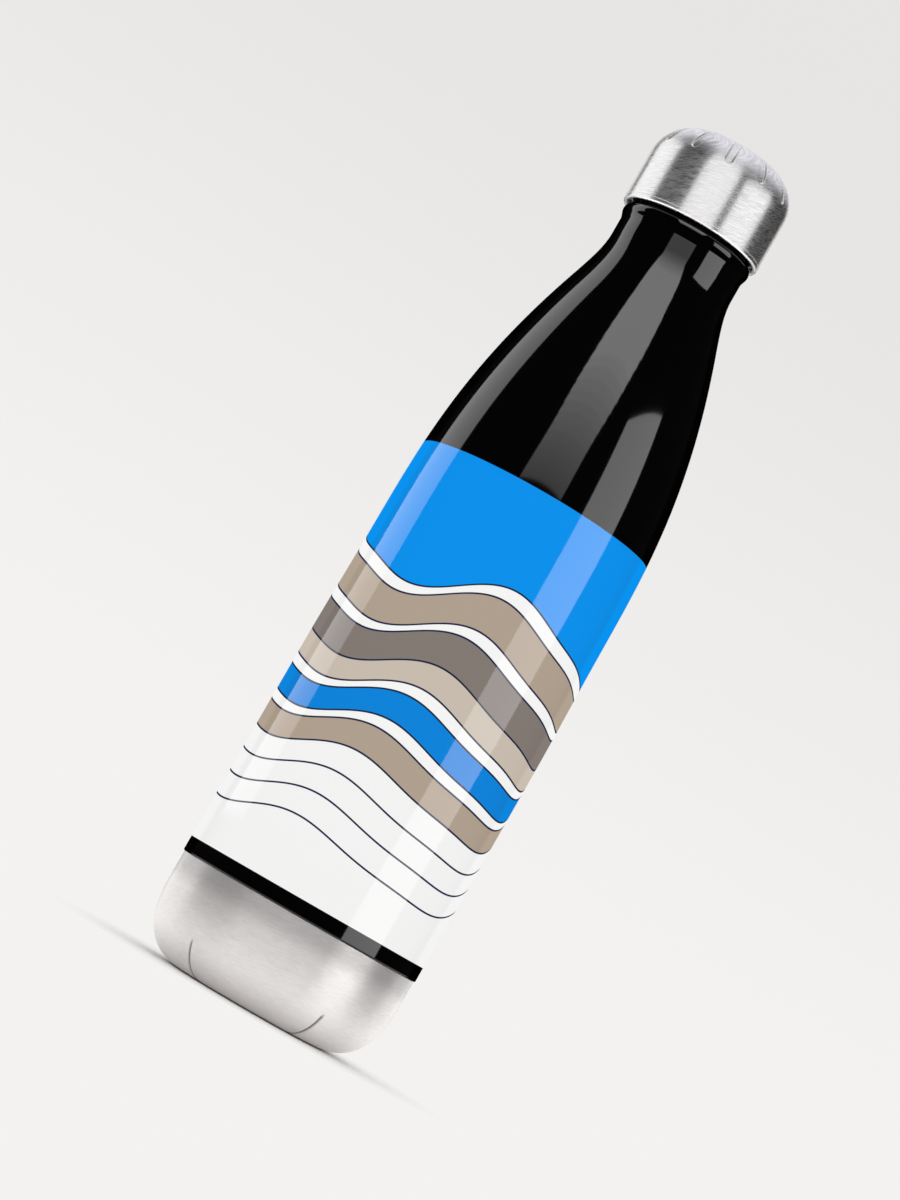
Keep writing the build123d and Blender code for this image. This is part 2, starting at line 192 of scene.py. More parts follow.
def build_turning_tree() -> bpy.types.NodeTree:
    """Tree that turns an outline, given as a row of points in the XZ plane, into a shell round the Z axis.

    The columns of a sector stand closer together near its middle when Dense Share is more than Dense Width.
    """
    t = make_group(
        "turn_outline",
        "GeometryNodeTree",
        {
            "Outline": (GEOMETRY, None),
            "Sectors": (INT, 1),
            "Columns": (INT, 96),
            "Dense Share": (FLOAT, 0.5),
            "Dense Width": (FLOAT, 0.5),
            "Turn": (FLOAT, 0.0),
            "Finish": (MATERIAL, None),
        },
        {"Geometry": GEOMETRY},
    )
    g = t.start.outputs
    count = t.node("GeometryNodeAttributeDomainSize", {"Geometry": g["Outline"]}, component="MESH").outputs["Point Count"]
    steps = t.math("MULTIPLY", g["Sectors"], g["Columns"])
    across = t.math("ADD", steps, 1.0)
    grid = t.node("GeometryNodeMeshGrid", {"Size X": 1.0, "Size Y": 1.0, "Vertices X": count, "Vertices Y": across})
    index = t.node("GeometryNodeInputIndex").outputs[0]
    row = t.math("FLOOR", t.math("DIVIDE", t.math("ADD", index, 0.5), across))
    column = t.math("SUBTRACT", index, t.math("MULTIPLY", row, across))
    place = t.math("DIVIDE", column, g["Columns"])
    sector = t.math("FLOOR", t.math("ADD", place, 1e-5))
    offset = t.math("SUBTRACT", t.math("SUBTRACT", place, sector), 0.5)
    size = t.math("ABSOLUTE", offset)
    half_share = t.math("MULTIPLY", g["Dense Share"], 0.5)
    half_width = t.math("MULTIPLY", g["Dense Width"], 0.5)
    near = t.math("MULTIPLY", size, t.math("DIVIDE", g["Dense Width"], g["Dense Share"]))
    slope = t.math("DIVIDE", t.math("SUBTRACT", 1.0, g["Dense Width"]), t.math("SUBTRACT", 1.0, g["Dense Share"]))
    far = t.math("ADD", half_width, t.math("MULTIPLY", t.math("SUBTRACT", size, half_share), slope))
    outer = t.math("GREATER_THAN", size, half_share)
    warped = t.math("ADD", t.math("MULTIPLY", near, t.math("SUBTRACT", 1.0, outer)), t.math("MULTIPLY", far, outer))
    signed = t.math("MULTIPLY", warped, t.math("SIGN", offset))
    share = t.math("DIVIDE", t.math("ADD", sector, signed), g["Sectors"])
    angle = t.math("ADD", t.math("MULTIPLY", share, TAU), g["Turn"])
    position = t.node("GeometryNodeInputPosition").outputs[0]
    sample = t.node("GeometryNodeSampleIndex", data_type="FLOAT_VECTOR", domain="POINT")
    t.put(sample.inputs["Geometry"], g["Outline"])
    t.put(sample.inputs["Value"], position)
    t.put(sample.inputs["Index"], row)
    apart = t.node("ShaderNodeSeparateXYZ", {0: sample.outputs["Value"]}).outputs
    turned = t.node(
        "ShaderNodeCombineXYZ",
        {
            "X": t.math("MULTIPLY", apart["X"], t.math("COSINE", angle)),
            "Y": t.math("MULTIPLY", apart["X"], t.math("SINE", angle)),
            "Z": apart["Z"],
        },
    ).outputs[0]
    placed = t.node("GeometryNodeSetPosition", {"Geometry": grid.outputs["Mesh"], "Position": turned}).outputs[0]
    along = t.math("DIVIDE", row, t.math("SUBTRACT", count, 1.0))
    stored = t.node("GeometryNodeStoreNamedAttribute", data_type="FLOAT", domain="POINT")
    t.put(stored.inputs["Geometry"], placed)
    t.put(stored.inputs["Name"], "along")
    t.put(stored.inputs["Value"], along)
    merged = t.node("GeometryNodeMergeByDistance", {"Geometry": stored.outputs[0], "Distance": 2e-6}).outputs[0]
    smooth = t.node("GeometryNodeSetShadeSmooth", {"Geometry": merged}).outputs[0]
    real = t.node("GeometryNodeRealizeInstances", {"Geometry": smooth}).outputs[0]
    done = t.node("GeometryNodeSetMaterial", {"Geometry": real, "Material": g["Finish"]}).outputs[0]
    t.put(t.end.inputs["Geometry"], done)
    return t.tree


def build_groove_tree() -> bpy.types.NodeTree:
    """Tree that presses evenly spaced round-ended grooves into the outside of a turned piece."""
    t = make_group(
        "press_grooves",
        "GeometryNodeTree",
        {
            "Piece": (GEOMETRY, None),
            "Count": (INT, 12),
            "Turn": (FLOAT, 0.0),
            "Width": (FLOAT, 0.0026),
            "Depth": (FLOAT, 0.0005),
            "Rim": (FLOAT, 0.00004),
            "Edge": (FLOAT, 0.0003),
            "Lower End": (FLOAT, 0.25),
            "Upper End": (FLOAT, 1.0),
            "Inner Radius": (FLOAT, 0.012),
            "Run-out": (FLOAT, 0.001),
            "Outside Share": (FLOAT, 0.5),
            "Finish": (MATERIAL, None),
        },
        {"Geometry": GEOMETRY},
    )
    g = t.start.outputs
    apart = t.node("ShaderNodeSeparateXYZ", {0: t.node("GeometryNodeInputPosition").outputs[0]}).outputs
    radius = t.math("SQRT", t.math("ADD", t.math("POWER", apart["X"], 2.0), t.math("POWER", apart["Y"], 2.0)))
    angle = t.math("SUBTRACT", t.math("ARCTAN2", apart["Y"], apart["X"]), g["Turn"])
    sector = t.math("DIVIDE", TAU, g["Count"])
    turns = t.math("DIVIDE", angle, sector)
    nearest = t.math("MULTIPLY", t.math("SUBTRACT", turns, t.math("ROUND", turns)), sector)
    sideways = t.math("MULTIPLY", radius, t.math("SINE", nearest))
    half = t.math("MULTIPLY", g["Width"], 0.5)
    below = t.math("MAXIMUM", 0.0, t.math("SUBTRACT", t.math("ADD", g["Lower End"], half), apart["Z"]))
    over = t.math("MAXIMUM", 0.0, t.math("SUBTRACT", t.math("ADD", apart["Z"], half), g["Upper End"]))
    inward = t.math("MAXIMUM", 0.0, t.math("SUBTRACT", t.math("ADD", g["Inner Radius"], half), radius))
    beyond = t.math("ADD", t.math("ADD", below, over), inward)
    distance = t.math("SQRT", t.math("ADD", t.math("POWER", sideways, 2.0), t.math("POWER", beyond, 2.0)))
    outside = t.math("SUBTRACT", distance, half)
    pressed = t.node(
        "ShaderNodeMapRange",
        {"Value": outside, "From Min": t.math("MULTIPLY", g["Edge"], -1.0), "From Max": 0.0, "To Min": 1.0, "To Max": 0.0},
        interpolation_type="SMOOTHERSTEP",
    ).outputs["Result"]
    lip = t.math("DIVIDE", t.math("SUBTRACT", outside, t.math("MULTIPLY", g["Edge"], 0.5)), g["Edge"])
    raised = t.math("MAXIMUM", 0.0, t.math("SUBTRACT", 1.0, t.math("POWER", t.math("ABSOLUTE", lip), 2.0)))
    full = t.ramp(radius, g["Inner Radius"], t.math("ADD", g["Inner Radius"], g["Run-out"]))
    relief = t.math("SUBTRACT", t.math("MULTIPLY", raised, g["Rim"]), t.math("MULTIPLY", pressed, g["Depth"]))
    depth = t.math("MULTIPLY", relief, full)
    along = t.node("GeometryNodeInputNamedAttribute", {"Name": "along"}, data_type="FLOAT").outputs["Attribute"]
    shown = t.math("LESS_THAN", along, g["Outside Share"])
    normal = t.node("GeometryNodeInputNormal").outputs[0]
    move = t.node("ShaderNodeVectorMath", operation="SCALE")
    t.put(move.inputs[0], normal)
    t.put(move.inputs["Scale"], t.math("MULTIPLY", depth, shown))
    pushed = t.node("GeometryNodeSetPosition", {"Geometry": g["Piece"], "Offset": move.outputs[0]}).outputs[0]
    mark = t.node("GeometryNodeStoreNamedAttribute", {"Geometry": pushed, "Name": PRESSED}, data_type="FLOAT", domain="POINT")
    t.put(mark.inputs["Value"], t.math("MULTIPLY", t.math("MULTIPLY", pressed, full), shown))
    real = t.node("GeometryNodeRealizeInstances", {"Geometry": mark.outputs[0]}).outputs[0]
    done = t.node("GeometryNodeSetMaterial", {"Geometry": real, "Material": g["Finish"]}).outputs[0]
    t.put(t.end.inputs["Geometry"], done)
    return t.tree


def add_tree(piece: bpy.types.Object, tree: bpy.types.NodeTree, values: dict[str, object]) -> None:
    """Put a geometry tree on a piece as a modifier and set its named inputs."""
    modifier = piece.modifiers.new(tree.name, "NODES")
    modifier.node_group = tree
    sockets = {s.name: s for s in tree.interface.items_tree if s.in_out == "INPUT"}
    for name, value in values.items():
        modifier[sockets[name].identifier] = value


def settle(piece: bpy.types.Object, flat_above: float | None = None) -> bpy.types.Object:
    """Turn a piece's modifiers into a plain mesh with its faces outward.

    Args:
        piece: the object to settle.
        flat_above: angle in degrees past which an edge is left sharp, or None.

    Returns:
        The same object.
    """
    depsgraph = bpy.context.evaluated_depsgraph_get()
    made = bpy.data.meshes.new_from_object(piece.evaluated_get(depsgraph))
    piece.modifiers.clear()
    made.name = piece.name
    piece.data = made
    work = bmesh.new()
    work.from_mesh(made)
    bmesh.ops.remove_doubles(work, verts=work.verts, dist=1e-6)
    bmesh.ops.recalc_face_normals(work, faces=work.faces)
    for face in work.faces:
        face.smooth = True
    if flat_above is not None:
        for edge in work.edges:
            if len(edge.link_faces) == 2 and edge.calc_face_angle() > math.radians(flat_above):
                edge.smooth = False
    work.to_mesh(made)
    work.free()
    if "along" in made.attributes:
        made.attributes.remove(made.attributes["along"])
    return piece


# ---- outlines ------------------------------------------------------------------------


@dataclass
class Outline:
    """Half outline of a turned piece, as points of radius and height in metres."""

    points: list[Point] = field(default_factory=list)
    step: float = 0.0006
    hold: float = 0.00012

    def start(self, radius: float, height: float) -> "Outline":
        """Begin the outline at a point."""
        self.points = [(radius, height)]
        return self

    def line(self, radius: float, height: float, step: float | None = None) -> "Outline":
        """Straight run, held close to both of its ends so that its shading stays even.

        Args:
            radius: radius of the end.
            height: height of the end.
            step: longest distance between points, or None for a bare run.

        Returns:
            The outline.
        """
        r0, z0 = self.points[-1]
        length = math.hypot(radius - r0, height - z0)
        shares = [self.hold / length, 1 - self.hold / length] if length > 3 * self.hold else []
        if step:
            count = max(1, round(length / step))
            shares += [i / count for i in range(1, count)]
        for share in sorted(shares):
            self.points.append((r0 + (radius - r0) * share, z0 + (height - z0) * share))
        self.points.append((radius, height))
        return self

    def bulge(self, foot: float, out: float, rise: float, power: float) -> "Outline":
        """Full rounded corner from the floor up to an upright wall.

        Args:
            foot: radius where the corner leaves the floor.
            out: how far out the wall stands from there.
            rise: height at which the wall is upright.
            power: how full the corner is, where 2 is an ellipse.

        Returns:
            The outline.
        """
        count = 44
        for i in range(1, count + 1):
            a = math.radians(90) * i / count
            across, down = math.sin(a) ** (2 / power), math.cos(a) ** (2 / power)
            self.points.append((foot + out * across, rise * (1 - down)))
        return self

    def arc(self, centre: Point, radius: float, start: float, end: float) -> "Outline":
        """Arc about a centre, from one angle to another in degrees, where 0 points away from the axis."""
        turn = math.radians(end - start)
        count = max(3, round(abs(turn) * radius / self.step))
        for i in range(1, count + 1):
            a = math.radians(start) + turn * i / count
            self.points.append((centre[0] + radius * math.cos(a), centre[1] + radius * math.sin(a)))
        return self

    def curve(self, knots: list[Point], step: float) -> "Outline":
        """Smooth curve through knots that starts and ends upright, as a clamped cubic spline.

        Args:
            knots: the points it passes through, the first being the outline's last point.
            step: distance between the outline's points along it.

        Returns:
            The outline.
        """
        spline = ClampedSpline(knots, (0.0, math.copysign(1.0, knots[-1][1] - knots[0][1])))
        count = max(4, round(spline.length / step))
        self.points += [spline.at(spline.length * i / count) for i in range(1, count + 1)]
        return self

    def closed(self) -> "Outline":
        """Return to the first point."""
        self.points.append(self.points[0])
        return self


class ClampedSpline:
    """Cubic spline through points of a plane, with the same given direction at both ends."""

    def __init__(self, knots: list[Point], direction: Point) -> None:
        """Solve the spline's slopes over chord length."""
        self.knots = knots
        self.at_knot = [0.0]
        for a, b in zip(knots, knots[1:]):
            self.at_knot.append(self.at_knot[-1] + math.dist(a, b))
        self.length = self.at_knot[-1]
        self.slopes = list(zip(*(self._solve([k[i] for k in knots], direction[i]) for i in (0, 1))))

    def _solve(self, values: list[float], end_slope: float) -> list[float]:
        """Slopes at the knots for one coordinate, by the usual three-term elimination."""
        gaps = [b - a for a, b in zip(self.at_knot, self.at_knot[1:])]
        count = len(values)
        upper, right = [0.0] * count, [end_slope] + [0.0] * (count - 1)
        for i in range(1, count - 1):
            before, after = gaps[i - 1], gaps[i]
            pull = 3 * (after * (values[i] - values[i - 1]) / before + before * (values[i + 1] - values[i]) / after)
            pivot = 2 * (before + after) - after * upper[i - 1]
            upper[i] = before / pivot
            right[i] = (pull - after * right[i - 1]) / pivot
        slopes = [0.0] * count
        slopes[-1] = end_slope
        for i in range(count - 2, -1, -1):
            slopes[i] = right[i] - upper[i] * slopes[i + 1]
        return slopes

    def at(self, distance: float) -> Point:
        """Point of the spline at this chord length."""
        i = max(j for j in range(len(self.knots) - 1) if self.at_knot[j] <= distance + 1e-12)
        gap = self.at_knot[i + 1] - self.at_knot[i]
        u = (distance - self.at_knot[i]) / gap
        point = []
        for k in (0, 1):
            a, b = self.knots[i][k], self.knots[i + 1][k]
            m, n = self.slopes[i][k] * gap, self.slopes[i + 1][k] * gap
            point.append(
                (2 * u**3 - 3 * u**2 + 1) * a + (u**3 - 2 * u**2 + u) * m + (3 * u**2 - 2 * u**3) * b + (u**3 - u**2) * n
            )
        return tuple(point)


@dataclass(frozen=True)
class Lathe:
    """Makes turned pieces with one shared geometry tree."""

    tree: bpy.types.NodeTree
    columns: int = 160

    def turn(
        self,
        name: str,
        outline: Outline,
        finish: bpy.types.Material,
        sectors: int = 1,
        columns: int | None = None,
        dense: tuple[float, float] = (0.5, 0.5),
        turn: float = 0.0,
    ) -> bpy.types.Object:
        """Turn an outline round the Z axis.

        Args:
            name: the piece's name.
            outline: its half outline.
            finish: its material.
            sectors: equal sectors round it.
            columns: columns in a sector.
            dense: share of a sector's columns near its middle, and the share of its width that they fill.
            turn: angle of the first sector's middle, in radians.

        Returns:
            The piece, with its tree still on it.
        """
        mesh = bpy.data.meshes.new(name)
        edges = [(i, i + 1) for i in range(len(outline.points) - 1)]
        mesh.from_pydata([(r, 0.0, z) for r, z in outline.points], edges, [])
        piece = bpy.data.objects.new(name, mesh)
        bpy.context.scene.collection.objects.link(piece)
        values = {
            "Sectors": sectors,
            "Columns": columns or self.columns,
            "Dense Share": dense[0],
            "Dense Width": dense[1],
            "Turn": turn,
            "Finish": finish,
        }
        add_tree(piece, self.tree, values)
        return piece


# ---- shared shader groups ---------------------------------------------------------------


class Effects:
    """Shader groups that more than one finish uses."""

    def __init__(self) -> None:
        """Build each group once."""
        self.round_axis = self._round_axis()
        self.brushing = self._brushing()
        self.skin = self._skin()
        self.wave = self._wave()

    @staticmethod
    def _round_axis() -> bpy.types.NodeTree:
        """Angle round the Z axis from -Y in radians, distance from it and height, in the object's own space."""
        t = make_group(
            "round_axis", "ShaderNodeTree", {}, {"Angle": FLOAT, "Radius": FLOAT, "Height": FLOAT}
        )
        apart = t.node("ShaderNodeSeparateXYZ", {0: t.node("ShaderNodeTexCoord").outputs["Object"]}).outputs
        t.put(t.end.inputs["Angle"], t.math("ARCTAN2", apart["X"], t.math("MULTIPLY", apart["Y"], -1.0)))
        square = t.math("ADD", t.math("POWER", apart["X"], 2.0), t.math("POWER", apart["Y"], 2.0))
        t.put(t.end.inputs["Radius"], t.math("SQRT", square))
        t.put(t.end.inputs["Height"], apart["Z"])
        return t.tree

    def _brushing(self) -> bpy.types.NodeTree:
        """Short fine brush lines that run round the axis and climb a little, as tint, roughness and height."""
        t = make_group(
            "brushing",
            "ShaderNodeTree",
            {"Pitch": (FLOAT, 0.0003), "Length": (FLOAT, 0.005), "Climb": (FLOAT, 0.26), "Seed": (FLOAT, 0.0)},
            {"Tint": FLOAT, "Roughness": FLOAT, "Height": FLOAT},
        )
        g = t.start.outputs
        where = t.use(self.round_axis).outputs
        ring = t.math("DIVIDE", where["Radius"], g["Length"])
        round_way = t.math("MULTIPLY", where["Angle"], where["Radius"])
        across = t.math("SUBTRACT", t.math("ADD", where["Height"], where["Radius"]), t.math("MULTIPLY", round_way, g["Climb"]))
        upright = t.math("DIVIDE", across, g["Pitch"])
        cosine = t.math("MULTIPLY", t.math("COSINE", where["Angle"]), ring)
        sine = t.math("MULTIPLY", t.math("SINE", where["Angle"]), ring)
        space = t.node("ShaderNodeCombineXYZ", {"X": cosine, "Y": sine, "Z": upright}).outputs[0]
        fine = t.node("ShaderNodeTexNoise", {"Scale": 1.0, "Detail": 2.0}, noise_dimensions="4D")
        t.put(fine.inputs["Vector"], space)
        t.put(fine.inputs["W"], g["Seed"])
        slow = t.node("ShaderNodeVectorMath", {0: space, 1: (0.5, 0.5, 0.5)}, operation="MULTIPLY").outputs[0]
        wide = t.node("ShaderNodeTexNoise", {"Scale": 1.0, "Detail": 3.0}, noise_dimensions="4D")
        t.put(wide.inputs["Vector"], slow)
        t.put(wide.inputs["W"], g["Seed"])
        lines = t.math("ADD", t.math("MULTIPLY", fine.outputs["Fac"], 0.7), t.math("MULTIPLY", wide.outputs["Fac"], 0.3))
        t.put(t.end.inputs["Height"], lines)
        t.put(t.end.inputs["Tint"], t.ramp(lines, 0.3, 0.7))
        t.put(t.end.inputs["Roughness"], t.ramp(lines, 0.64, 0.36))
        return t.tree

    @staticmethod
    def _skin() -> bpy.types.NodeTree:
        """Soft unevenness of a surface, fine and broad together, for sheen and bump."""
        t = make_group(
            "skin",
            "ShaderNodeTree",
            {"Grain": (FLOAT, 0.0004), "Patches": (FLOAT, 0.02)},
            {"Fine": FLOAT, "Broad": FLOAT},
        )
        g = t.start.outputs
        space = t.node("ShaderNodeTexCoord").outputs["Object"]
        fine = t.node("ShaderNodeTexNoise", {"Vector": space, "Scale": t.math("DIVIDE", 1.0, g["Grain"]), "Detail": 2.0})
        broad = t.node("ShaderNodeTexNoise", {"Vector": space, "Scale": t.math("DIVIDE", 1.0, g["Patches"]), "Detail": 3.0})
        t.put(t.end.inputs["Fine"], fine.outputs["Fac"])
        t.put(t.end.inputs["Broad"], broad.outputs["Fac"])
        return t.tree

    def _wave(self) -> bpy.types.NodeTree:
        """Mask of what lies below a wavy line round the axis, and of the line itself."""
        t = make_group(
            "wave_line",
            "ShaderNodeTree",
            {
                "Level": (FLOAT, 0.1),
                "Swing": (FLOAT, 0.01),
                "Waves": (FLOAT, 2.0),
                "Phase": (FLOAT, 0.0),
                "Ripple": (FLOAT, 0.003),
                "Ripples": (FLOAT, 5.0),
                "Line": (FLOAT, 0.0006),
            },
            {"Below": FLOAT, "Line": FLOAT},
        )
        g = t.start.outputs
        where = t.use(self.round_axis).outputs
        big = t.math("SINE", t.math("ADD", t.math("MULTIPLY", where["Angle"], g["Waves"]), g["Phase"]))
        small_angle = t.math("ADD", t.math("MULTIPLY", where["Angle"], g["Ripples"]), t.math("MULTIPLY", g["Phase"], 1.7))
        small = t.math("SINE", small_angle)
        swing = t.math("ADD", t.math("MULTIPLY", big, g["Swing"]), t.math("MULTIPLY", small, g["Ripple"]))
        edge = t.math("ADD", g["Level"], swing)
        under = t.math("SUBTRACT", edge, where["Height"])
        t.put(t.end.inputs["Below"], t.ramp(under, -0.00006, 0.00006))
        half = t.math("MULTIPLY", g["Line"], 0.5)
        off = t.math("SUBTRACT", half, t.math("ABSOLUTE", under))
        t.put(t.end.inputs["Line"], t.ramp(off, -0.00005, 0.00005))
        return t.tree


# ---- finishes ------------------------------------------------------------------------


def blank_material(name: str) -> tuple[bpy.types.Material, Tree, bpy.types.Node]:
    """New material with its Principled shader.

    Returns:
        The material, its tree and the shader node.
    """
    material = bpy.data.materials.new(name)
    material.use_nodes = True
    tree = Tree(material.node_tree)
    return material, tree, material.node_tree.nodes["Principled BSDF"]


@dataclass(frozen=True)
class BrushedSteel:
    """Bare stainless steel with fine lines round the axis, which draw its reflections out upright, and painted shade:
    its colour darkens in height bands and in pressed grooves.
    """

    name: str
    light: Colour
    dark: Colour
    roughness: tuple[float, float] = (0.4, 0.5)
    pitch: float = 0.3 * MM
    length: float = 4.0 * MM
    climb: float = 0.26
    relief: float = 0.12
    depth: float = 0.02 * MM
    anisotropy: float = 0.8
    seed: float = 1.0
    # painted shade: bands of darker colour between two heights, as (from, to, amount)
    painted_shades: tuple[tuple[float, float, float], ...] = ()
    # painted shade: how much darker the colour is in pressed grooves
    painted_groove_shade: float = 0.0

    def make(self, effects: Effects) -> bpy.types.Material:
        """Build the material."""
        material, t, shader = blank_material(self.name)
        values = {"Pitch": self.pitch, "Length": self.length, "Climb": self.climb, "Seed": self.seed}
        lines = t.use(effects.brushing, values).outputs
        low, high = self.roughness
        height = t.use(effects.round_axis).outputs["Height"]
        pressed = t.node("ShaderNodeAttribute", attribute_name=PRESSED).outputs["Fac"]
        # Painted shade: the colour darkens where the grooves are pressed.
        painted_darkening = t.math("MULTIPLY", pressed, self.painted_groove_shade)
        # Painted shade: each band darkens the colour between its two heights.
        for start, end, amount in self.painted_shades:
            painted_darkening = t.math("ADD", painted_darkening, t.ramp(height, start, end, 0.0, amount))
        t.put(shader.inputs["Base Color"], t.mix(painted_darkening, t.mix(lines["Tint"], self.dark, self.light), (0.0, 0.0, 0.0)))
        t.put(shader.inputs["Roughness"], t.ramp(lines["Roughness"], 0.0, 1.0, low, high))
        t.put(shader.inputs["Metallic"], 1.0)
        t.put(shader.inputs["Anisotropic"], self.anisotropy)
        t.put(shader.inputs["Anisotropic Rotation"], 0.25)
        t.put(shader.inputs["Tangent"], t.node("ShaderNodeTangent", direction_type="RADIAL", axis="Z").outputs[0])
        bump = t.node("ShaderNodeBump", {"Strength": self.relief, "Distance": self.depth, "Height": lines["Height"]})
        t.put(shader.inputs["Normal"], bump.outputs[0])
        return material


@dataclass(frozen=True)
class Moulded:
    """Moulded, cast or foamed stuff: one colour family with grain and patches."""

    name: str
    colour: Colour
    shade: Colour
    roughness: tuple[float, float] = (0.35, 0.5)
    grain: float = 0.0004
    patches: float = 0.012
    relief: float = 0.1
    metallic: float = 0.0
    subsurface: float = 0.0

    def make(self, effects: Effects) -> bpy.types.Material:
        """Build the material."""
        material, t, shader = blank_material(self.name)
        skin = t.use(effects.skin, {"Grain": self.grain, "Patches": self.patches})
        t.put(shader.inputs["Base Color"], t.mix(t.ramp(skin.outputs["Broad"], 0.3, 0.7), self.shade, self.colour))
        low, high = self.roughness
        t.put(shader.inputs["Roughness"], t.ramp(skin.outputs["Fine"], 0.3, 0.7, low, high))
        shader.inputs["Metallic"].default_value = self.metallic
        shader.inputs["Subsurface Weight"].default_value = self.subsurface
        shader.inputs["Subsurface Scale"].default_value = 0.002
        bump = t.node("ShaderNodeBump", {"Strength": self.relief, "Distance": 0.0001, "Height": skin.outputs["Fine"]})
        t.put(shader.inputs["Normal"], bump.outputs[0])
        return material


@dataclass(frozen=True)
class WaveBand:
    """One wavy band of the print: everything below its line takes its colour."""

    level: float
    swing: float
    waves: int
    phase: float
    colour: Colour
    ripple: float = 0.0
    ripples: int = 5
    line: float = 0.0005
    line_colour: Colour = srgb(28, 39, 71)


@dataclass(frozen=True)
class PrintedPaint:
    """Glossy black paint with a printed stretch under one clear coat, whose gloss fades at the outline."""

    name: str = "printed_paint"
    black: Colour = (0.0006, 0.0006, 0.0006)
    print_top: float = 153.9 * MM
    print_foot: float = 31.9 * MM
    print_edge: float = 0.08 * MM
    ground: Colour = srgb(10, 149, 244)
    gloss_fade: tuple[float, float] = (0.6, 0.68)
    pale_ink: tuple[float, float] = (0.35, 0.85)
    pale_gloss: float = 0.5
    bands: tuple[WaveBand, ...] = ()

    def printed_colour(self, t: Tree, effects: Effects) -> bpy.types.NodeSocket:
        """Colour of the print, band below band."""
        colour: object = self.ground
        for band in self.bands:
            values = {
                "Level": band.level,
                "Swing": band.swing,
                "Waves": float(band.waves),
                "Phase": band.phase,
                "Ripple": band.ripple,
                "Ripples": float(band.ripples),
                "Line": band.line,
            }
            wave = t.use(effects.wave, values).outputs
            colour = t.mix(wave["Below"], colour, band.colour)
            colour = t.mix(wave["Line"], colour, band.line_colour)
        return colour

    def make(self, effects: Effects) -> bpy.types.Material:
        """Build the material."""
        material, t, shader = blank_material(self.name)
        height = t.use(effects.round_axis).outputs["Height"]
        skin = t.use(effects.skin, {"Grain": 0.9 * MM, "Patches": 20 * MM}).outputs
        above = t.ramp(height, self.print_top - self.print_edge, self.print_top + self.print_edge)
        under = t.ramp(height, self.print_foot + self.print_edge, self.print_foot - self.print_edge)
        painted = t.math("MAXIMUM", above, under)
        colour = t.mix(painted, self.printed_colour(t, effects), self.black)
        t.put(shader.inputs["Base Color"], colour)
        t.put(shader.inputs["Roughness"], t.ramp(skin["Broad"], 0.3, 0.7, 0.4, 0.5))
        t.put(shader.inputs["Specular IOR Level"], 0.0)
        facing = t.node("ShaderNodeLayerWeight", {"Blend": 0.5}).outputs["Facing"]
        paleness = t.node("ShaderNodeRGBToBW", {0: colour}).outputs[0]
        gloss = t.ramp(paleness, *self.pale_ink, 1.0, self.pale_gloss)
        t.put(shader.inputs["Coat Weight"], t.math("MULTIPLY", t.ramp(facing, *self.gloss_fade, 1.0, 0.0), gloss))
        t.put(shader.inputs["Coat Roughness"], 0.055)
        t.put(shader.inputs["Coat IOR"], 1.5)
        relief = t.math("ADD", t.math("MULTIPLY", skin["Fine"], 0.05), t.math("MULTIPLY", painted, 0.35))
        bump = t.node("ShaderNodeBump", {"Strength": 0.25, "Distance": 0.05 * MM, "Height": relief})
        t.put(shader.inputs["Normal"], bump.outputs[0])
        return material


